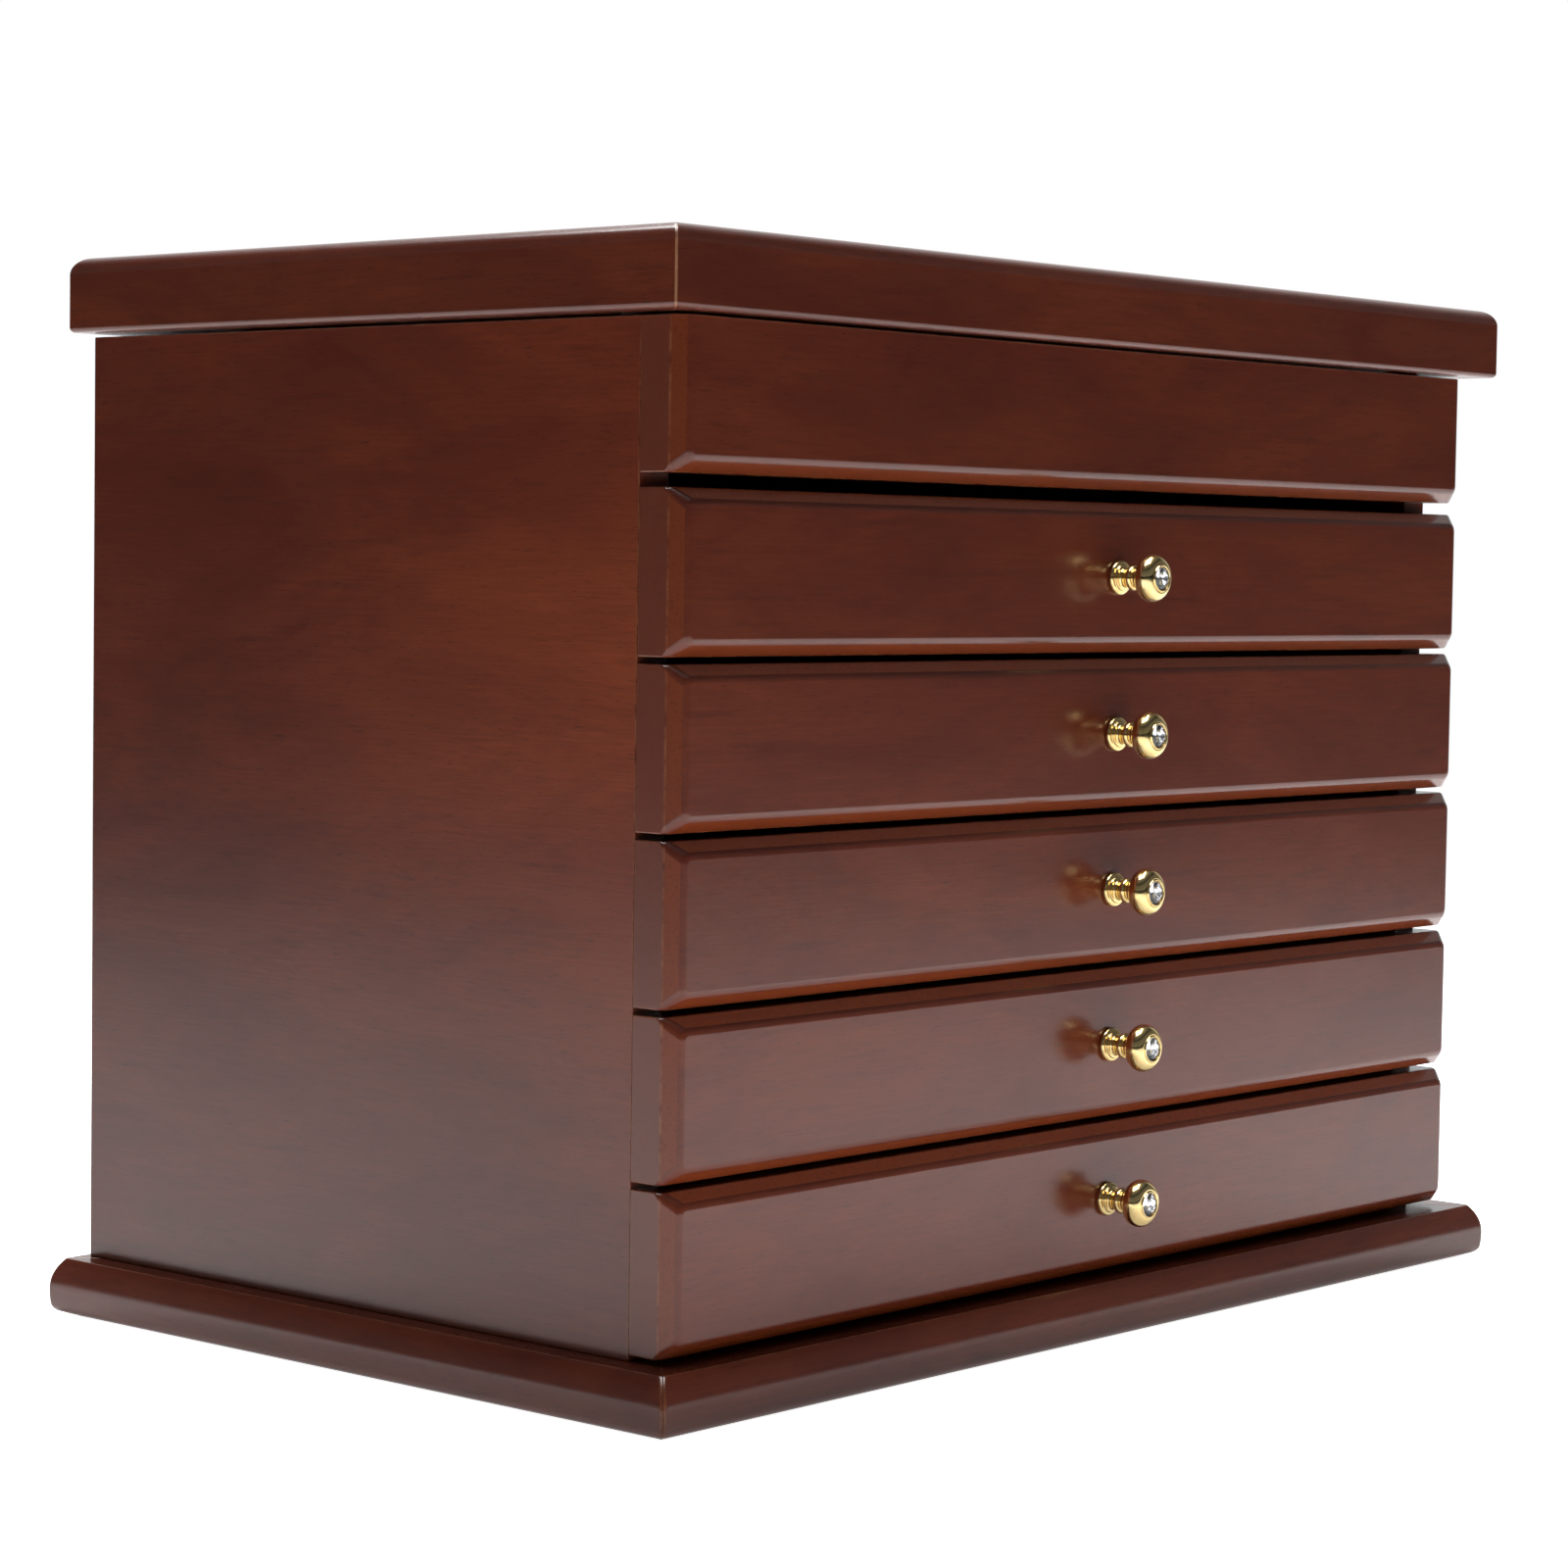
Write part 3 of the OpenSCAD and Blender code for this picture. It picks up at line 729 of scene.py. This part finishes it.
def make_drawer_box(number):
    name, body = f"drawer_{number}", f"drawer_{number}"
    front_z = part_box(f"{name}_front")[0].z
    low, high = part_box(f"{name}_sides")
    bottom_low, bottom_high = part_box(f"{name}_bottom")
    section = side_section((low.z, high.z), (bottom_low.z, bottom_high.z))
    middle, deep = (low.y + high.y) / 2, high.y - low.y
    sides = [moved(bar(section, deep), (low.x, middle, low.z), -90),
             moved(bar(section, deep), (high.x, middle, low.z), 90)]
    z0, z1 = front_z + RUNNER_LOW - RUNNER_FIT, front_z + RUNNER_HIGH + RUNNER_FIT
    y0, y1 = low.y + GROOVE_START, high.y + GROOVE_DEPTH
    grooves = [block((x - GROOVE_DEPTH, y0, z0), (x + GROOVE_DEPTH, y1, z1)) for x in (low.x, high.x)]
    inner(f"{name}_sides", body, sides, ALONG_Y, 20 + number, grooves)
    inner(f"{name}_back", body, [block(*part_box(f"{name}_back"))], ALONG_X, 30 + number)
    inner(f"{name}_bottom", body, [block(bottom_low, bottom_high)], ALONG_X, 40 + number)


def inner(node, body, solids, axis, seed, grooves=()):
    """A bare wooden piece with lightly eased edges."""
    piece = built(f"{node}_board", solids)
    if grooves:
        cut(piece, grooves)
    round_edges(piece, 0.3 * MM, 2)
    return put(piece, node, body, "inner_wood", bare_wood(f"bare_{node}", axis, seed))


def make_inner_boards():
    for node, seed in (("base_board", 51), ("compartment_floor", 52)):
        inner(node, "chest", [block(*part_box(node))], ALONG_X, seed)


def make_runners():
    low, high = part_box("drawer_runners")
    strips = []
    for number in range(1, DRAWERS + 1):
        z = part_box(f"drawer_{number}_front")[0].z
        for x in (low.x, high.x - RUNNER_WIDTH):
            strips.append(block((x, low.y, z + RUNNER_LOW), (x + RUNNER_WIDTH, high.y, z + RUNNER_HIGH)))
    inner("drawer_runners", "chest", strips, ALONG_Y, 53)


# ---------------------------------------------------------------- linings

def lined(node, body, solids, velvet, edge=0.5 * MM):
    piece = built(f"{node}_velvet", solids)
    round_edges(piece, edge, 4)
    return put(piece, node, body, "velvet_lining", velvet)


DIVIDER = 3 * MM
DIVIDER_HEIGHT = 19 * MM
ROLLS = 9
ROLL_LENGTH = 88 * MM
ROLL_RADIUS = 8.5 * MM
ROLL_DIMPLE = 1.2 * MM
DIVIDER_ROUND = 1.2 * MM


def divider(start, end, along_x):
    """A padded divider with a rounded top, from start to end."""
    t, h, r = DIVIDER, DIVIDER_HEIGHT, DIVIDER_ROUND
    section = [(0, 0)] + arc((r, h - r), r, 180, 90, 6) + arc((t - r, h - r), r, 90, 0, 6) + [(t, 0)]
    length = (Vector(end) - Vector(start)).length
    middle = (Vector(start) + Vector(end)) / 2
    shift = Vector((0, -t / 2, 0)) if along_x else Vector((t / 2, 0, 0))
    return moved(bar(section, length), middle + shift, 0 if along_x else 90)


def make_dividers(velvet):
    low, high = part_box("compartment_dividers")
    x0 = low.x + DIVIDER / 2
    y_mid = (low.y + high.y) / 2
    x_mid = (low.x + DIVIDER + high.x) / 2
    walls = [divider((x0, low.y, low.z), (x0, high.y, low.z), False),
             divider((low.x + DIVIDER, y_mid, low.z), (high.x, y_mid, low.z), True),
             divider((x_mid, y_mid + DIVIDER / 2, low.z), (x_mid, high.y, low.z), False)]
    lined("compartment_dividers", "chest", walls, velvet, 0.3 * MM)


def roll_radius(turn, along, seed):
    """Distance of a roll's skin from its axis.

    The skin is pulled in at the ends, pressed in by the neighbouring rolls, and softly uneven.
    """
    dome = min(1.0, math.sin(math.pi / 2 * min(1.0, 4.2 * min(along, 1 - along) + 0.16)))
    pressed = 1 - 0.020 * abs(math.cos(turn)) ** 6
    low = 1 - 0.03 * max(0.0, -math.sin(turn)) ** 8
    sway = noise.noise(Vector((3.1 * math.cos(turn), 3.1 * math.sin(turn), 9 * along + 7 * seed)))
    return ROLL_RADIUS * (0.55 + 0.45 * dome) * pressed * low * (1 + 0.012 * (sway - 1))


def make_rolls(velvet):
    """Nine foam rolls side by side, with the velvet drawn in round each end."""
    low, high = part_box("ring_rolls")
    pitch = (high.y - low.y - 2 * ROLL_RADIUS) / (ROLLS - 1)
    around, steps = 40, 44
    solids = []
    for k in range(ROLLS):
        y = low.y + ROLL_RADIUS + k * pitch
        points = [Vector((low.x + ROLL_DIMPLE, y, low.z + ROLL_RADIUS))]
        for i in range(steps + 1):
            along = (1 - math.cos(math.pi * i / steps)) / 2
            for j in range(around):
                turn = 2 * math.pi * j / around
                r = roll_radius(turn, along, k)
                points.append(Vector((low.x + along * ROLL_LENGTH, y + r * math.cos(turn),
                                      low.z + ROLL_RADIUS + r * math.sin(turn))))
        points.append(Vector((low.x + ROLL_LENGTH - ROLL_DIMPLE, y, low.z + ROLL_RADIUS)))
        last = len(points) - 1
        faces = []
        for j in range(around):
            nxt = (j + 1) % around
            faces.append((0, 1 + nxt, 1 + j))
            faces.append((last, 1 + steps * around + j, 1 + steps * around + nxt))
            faces += [(1 + i * around + j, 1 + i * around + nxt, 1 + (i + 1) * around + nxt,
                       1 + (i + 1) * around + j) for i in range(steps)]
        solids.append((points, faces))
    rolls = built("ring_rolls_velvet", solids)
    put(rolls, "ring_rolls", "chest", "velvet_lining", velvet)


MIRROR_BORDER = 18 * MM
BORDER_ROUND = 1.5 * MM
MIRROR_RIM, MIRROR_DROP = 9 * MM, 0.9 * MM
# In degrees; the edges of the mirror's shallow rim turn more than this and less than SHARP_ANGLE
RIM_ANGLE = 4


def make_lid_inside(velvet, silver):
    """A crowned velvet border round a mirror with a bevelled rim."""
    low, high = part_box("lid_lining")
    t, r = high.z - low.z, BORDER_ROUND
    section = [(0, t)] + arc((r, r), r, 180, 270, 6)
    section += arc((MIRROR_BORDER - r, r), r, 270, 360, 6) + [(MIRROR_BORDER, t)]
    border = ring([(d, low.z + z) for d, z in section], low, high)
    lined("lid_lining", "lid", [border], velvet, 0.3 * MM)
    low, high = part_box("mirror")
    rim = MIRROR_RIM
    points = block((low.x, low.y, low.z + MIRROR_DROP), high)[0]
    points += [(x, y, low.z) for y in (low.y + rim, high.y - rim) for x in (low.x + rim, high.x - rim)]
    faces = [(4, 5, 7, 6), (0, 1, 5, 4), (2, 6, 7, 3), (0, 4, 6, 2), (1, 3, 7, 5),
             (8, 10, 11, 9), (0, 1, 9, 8), (1, 3, 11, 9), (3, 2, 10, 11), (2, 0, 8, 10)]
    glass = built("mirror_silvered", [(points, faces)])
    round_edges(glass, 0.25 * MM, 2)
    glass.modifiers["rounded_edges"].angle_limit = math.radians(RIM_ANGLE)
    put(glass, "mirror", "lid", "mirror_glass", silver)


def bumper_profile(r, t):
    """Half of a felt dot's section: straight sides below a rounded edge."""
    rounded = [(r - 0.9 * t * (1 - math.cos(math.radians(a))), 0.3 * t + 0.7 * t * math.sin(math.radians(a)))
               for a in (20, 40, 60, 80)]
    return [(0, 0), (r, 0), (r, 0.3 * t)] + rounded + [(0, t)]


def make_felts(felt):
    low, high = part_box("underside_felt")
    sheet = built("underside_felt_sheet", [block(low, high)])
    round_edges(sheet, 0.35 * MM, 3)
    put(sheet, "underside_felt", "chest", "dark_felt", felt)
    low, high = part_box("lid_bumpers")
    r = (high.y - low.y) / 2
    dot = bumper_profile(r, high.z - low.z)
    dots = [revolved(dot, (x, low.y + r, low.z), (0, 0, 1), 40) for x in (low.x + r, high.x - r)]
    put(built("lid_bumpers_felt", dots), "lid_bumpers", "chest", "dark_felt", felt)


def make_linings(velvet):
    lined("compartment_lining", "chest", [tray(*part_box("compartment_lining"), LINING)], velvet)
    for number in range(1, DRAWERS + 1):
        node = f"drawer_{number}_lining"
        lined(node, f"drawer_{number}", [tray(*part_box(node), LINING)], velvet)


# ---------------------------------------------------------------- hinges

PIN_RADIUS = 1.1 * MM
BORE_RADIUS = 1.2 * MM
SCREW_FROM_MIDDLE = 10 * MM
SCREW_HEAD_RADIUS = 2 * MM
SCREW_PROUD = 0.02 * MM
SLOT_WIDTH, SLOT_DEPTH = 0.44 * MM, 0.5 * MM


def rod(radius, x0, x1, y, z, chamfer=0.25 * MM):
    """A round rod along X with chamfered ends."""
    length = x1 - x0
    profile = [(0, 0), (radius - chamfer, 0), (radius, chamfer), (radius, length - chamfer),
               (radius - chamfer, length), (0, length)]
    return revolved(profile, (x0, y, z), (1, 0, 0), 36)


def knuckle(x0, x1, y, z):
    """A tube along X that holds the hinge's pin."""
    length, chamfer = x1 - x0, 0.2 * MM
    profile = [(BORE_RADIUS, 0), (KNUCKLE_RADIUS - chamfer, 0), (KNUCKLE_RADIUS, chamfer),
               (KNUCKLE_RADIUS, length - chamfer), (KNUCKLE_RADIUS - chamfer, length), (BORE_RADIUS, length)]
    return revolved(profile, (x0, y, z), (1, 0, 0), 36, closed=True)


def leaf(x, low_z, spans, axis, front_y, back_y):
    """One hinge leaf: its plate, and the knuckles that span the given parts of its length."""
    axis_y, axis_z = axis
    half = HINGE_LENGTH / 2
    solids = [block((x - half, front_y, low_z), (x + half, back_y, low_z + LEAF_THICKNESS))]
    for start, end in spans:
        solids.append(knuckle(x + start, x + end, axis_y, axis_z))
        reach = axis_y - (BORE_RADIUS + KNUCKLE_RADIUS) / 2
        solids.append(block((x + start, back_y - 1 * MM, low_z), (x + end, reach, low_z + LEAF_THICKNESS)))
    return solids


def screw(place, up):
    """A countersunk head, its flat face towards up, on a plain shank."""
    r = SCREW_HEAD_RADIUS
    profile = [(0, -7 * MM), (0.7 * MM, -6.6 * MM), (1 * MM, -6 * MM), (1 * MM, -1.1 * MM), (r, -0.06 * MM),
               (r - 0.1 * MM, 0.0), (0, 0.0)]
    return revolved(profile, place, (0, 0, up), 36)


def screw_slot(place, up):
    """The cutter for a slot across a screw's head."""
    x, y, z = place
    low_z, high_z = sorted((z - up * SLOT_DEPTH, z + up * 0.1 * MM))
    reach = SCREW_HEAD_RADIUS + 1 * MM
    return block((x - reach, y - SLOT_WIDTH / 2, low_z), (x + reach, y + SLOT_WIDTH / 2, high_z))


def make_screws(node, body, axis_z, up, brass):
    low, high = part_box(node)
    middle = (low.y + high.y) / 2
    places = [(side * HINGE_FROM_MIDDLE + k * SCREW_FROM_MIDDLE, middle, axis_z + up * SCREW_PROUD)
              for side in (-1, 1) for k in (-1, 1)]
    heads = built(f"{node}_brass", [screw(place, up) for place in places])
    cut(heads, [screw_slot(place, up) for place in places])
    put(heads, node, body, "polished_brass", brass)


def make_hinges(brass):
    """Two butt hinges. The chest's leaves have the outer knuckles and the lid's leaves the middle one."""
    pins_low, pins_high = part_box("hinge_pins")
    axis = ((pins_low.y + pins_high.y) / 2, (pins_low.z + pins_high.z) / 2)
    back_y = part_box("back_panel")[1].y
    half, gap = HINGE_LENGTH / 2, 0.1 * MM
    split = HINGE_LENGTH / 6
    outer, middle = [(-half, -split - gap), (split + gap, half)], [(gap - split, split - gap)]
    kinds = (("hinge_body_leaves", "chest", axis[1] - LEAF_THICKNESS, outer, "hinge_body_screws", 1),
             ("hinge_lid_leaves", "lid", axis[1], middle, "hinge_lid_screws", -1))
    for node, body, low_z, spans, screws, up in kinds:
        front_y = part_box(node)[0].y
        solids = []
        for side in (-1, 1):
            solids += leaf(side * HINGE_FROM_MIDDLE, low_z, spans, axis, front_y, back_y)
        piece = built(f"{node}_brass", solids)
        round_edges(piece, 0.15 * MM, 2)
        put(piece, node, body, "polished_brass", brass)
        make_screws(screws, body, axis[1], up, brass)
    pins = [rod(PIN_RADIUS, x - half, x + half, *axis) for x in (-HINGE_FROM_MIDDLE, HINGE_FROM_MIDDLE)]
    put(built("hinge_pins_brass", pins), "hinge_pins", "chest", "polished_brass", brass)


# ---------------------------------------------------------------- studio

FLOOR_RADIUS = 2.6
FLOOR_SOLID = 0.6
FLOOR_GONE = 1.7


def make_floor():
    """A pale round floor that fades out towards its edge."""
    floor = built("floor", [revolved([(0, -0.02), (FLOOR_RADIUS, -0.02), (FLOOR_RADIUS, 0), (0, 0)],
                                     (0, 0, 0), (0, 0, 1), 128)], smooth=False)
    material, tree, shader = new_material("pale_floor")
    mottle = noise_of(tree, object_coords(tree, (9, 9, 9)), 4, 0.6)
    tree.links.new(mix(tree, mottle, (0.86, 0.86, 0.865), (0.90, 0.90, 0.90)), shader.inputs["Base Color"])
    shader.inputs["Roughness"].default_value = 0.9
    shader.inputs["Specular IOR Level"].default_value = 0.1
    shader.inputs["Emission Color"].default_value = (1, 1, 1, 1)
    seen = add_node(tree, "ShaderNodeLightPath").outputs["Is Camera Ray"]
    glow = add_node(tree, "ShaderNodeMapRange", {"Value": seen, "To Min": 0.40, "To Max": 1.0})
    tree.links.new(glow.outputs[0], shader.inputs["Emission Strength"])
    away = add_node(tree, "ShaderNodeVectorMath", {0: object_coords(tree, (1, 1, 0))}, operation="LENGTH")
    fade = add_node(tree, "ShaderNodeMapRange", {"Value": away.outputs["Value"], "From Min": FLOOR_SOLID,
                                                 "From Max": FLOOR_GONE, "To Min": 1.0, "To Max": 0.0},
                    interpolation_type="SMOOTHSTEP")
    tree.links.new(fade.outputs[0], shader.inputs["Alpha"])
    floor.data.materials.append(material)


# Levels in reflections: (sine of the height above the horizon, level)
WALLS = ((0.0, 0.006), (0.11, 0.008), (0.165, 0.20), (0.26, 0.12), (0.44, 0.12), (0.58, 0.02), (0.85, 0.14),
         (0.97, 0.5))


def make_world():
    """White where the camera looks past the chest.

    Reflections find a dim horizon, grey walls and a brighter ceiling, a pale ground, and a pale backdrop
    where the camera faces.
    """
    world = bpy.data.worlds.new("studio")
    bpy.context.scene.world = world
    world.use_nodes = True
    tree = world.node_tree
    tree.nodes.clear()
    heading = add_node(tree, "ShaderNodeTexCoord").outputs["Generated"]
    height = add_node(tree, "ShaderNodeSeparateXYZ", {0: heading}).outputs["Z"]
    level = ramp(tree, height, *WALLS)
    below = add_node(tree, "ShaderNodeMapRange", {"Value": height, "From Min": -0.15, "From Max": -0.08,
                                                  "To Min": 0.85, "To Max": 0.0})
    level = mix(tree, below.outputs[0], level, (1, 1, 1))
    backdrop = (math.sin(CAMERA_YAW), math.cos(CAMERA_YAW), 0)
    facing = add_node(tree, "ShaderNodeVectorMath", {0: heading, 1: backdrop}, operation="DOT_PRODUCT")
    level = mix(tree, ramp(tree, facing.outputs["Value"], (0.50, 0.0), (0.86, 0.8)), level, (1, 1, 1))
    room = add_node(tree, "ShaderNodeBackground", {"Color": level, "Strength": 1.0})
    white = add_node(tree, "ShaderNodeBackground", {"Color": (1, 1, 1, 1), "Strength": 1.0})
    seen = add_node(tree, "ShaderNodeLightPath").outputs["Is Camera Ray"]
    chosen = add_node(tree, "ShaderNodeMixShader", {0: seen, 1: room.outputs[0], 2: white.outputs[0]})
    out = add_node(tree, "ShaderNodeOutputWorld")
    tree.links.new(chosen.outputs[0], out.inputs["Surface"])


def make_light(name, place, target, size, power, seen=True, lit=True):
    """A rectangular light.

    If it isn't seen, it leaves no image in the camera or in the lacquer. If it isn't lit, it leaves only such
    images.
    """
    data = bpy.data.lights.new(name, "AREA")
    data.shape = "RECTANGLE"
    data.size, data.size_y = size
    data.energy = power
    light = bpy.data.objects.new(name, data)
    light.location = place
    light.rotation_mode = "QUATERNION"
    light.rotation_quaternion = (Vector(target) - Vector(place)).to_track_quat("-Z", "Y")
    light.visible_glossy = seen
    light.visible_camera = seen
    light.visible_diffuse = lit
    bpy.context.scene.collection.objects.link(light)


def make_studio():
    make_floor()
    make_world()
    make_light("softbox", (0.15, 0.35, 1.40), (0, -0.2, 0.1), (0.9, 0.9), 34)
    make_light("gleam", (-0.10, -0.10, 1.40), (0, 0, 0.1), (0.8, 0.8), 26, lit=False)
    make_light("low_fill", (-0.10, -0.204, 0.003), (-0.10, -0.204, 1), (0.56, 0.19), 0.62, seen=False)
    bpy.context.scene.view_settings.view_transform = "Standard"


# ---------------------------------------------------------------- the chest

make_camera()
make_studio()

brass = polished_brass()
velvet = pile_fabric("champagne_velvet", (0.50, 0.38, 0.25), (0.68, 0.55, 0.39), 0.5, 2600)
felt = pile_fabric("brown_felt", (0.030, 0.021, 0.017), (0.052, 0.037, 0.030), 0.15, 3400)
stone = clear_stone()
foil = silvered("foil", (0.97, 0.97, 0.98), 0.12)
silver = silvered("mirror_silver", (0.88, 0.90, 0.905), 0.012)

make_base()
make_carcase()
make_runners()
make_front("front_fascia", "chest", 5, bevelled_top=False)
for drawer in range(1, DRAWERS + 1):
    make_front(f"drawer_{drawer}_front", f"drawer_{drawer}", 10 + drawer)
    make_knob(drawer, brass, stone, foil)
    make_drawer_box(drawer)
make_lid()
make_linings(velvet)
make_dividers(velvet)
make_rolls(velvet)
make_lid_inside(velvet, silver)
make_felts(felt)
make_inner_boards()
make_hinges(brass)
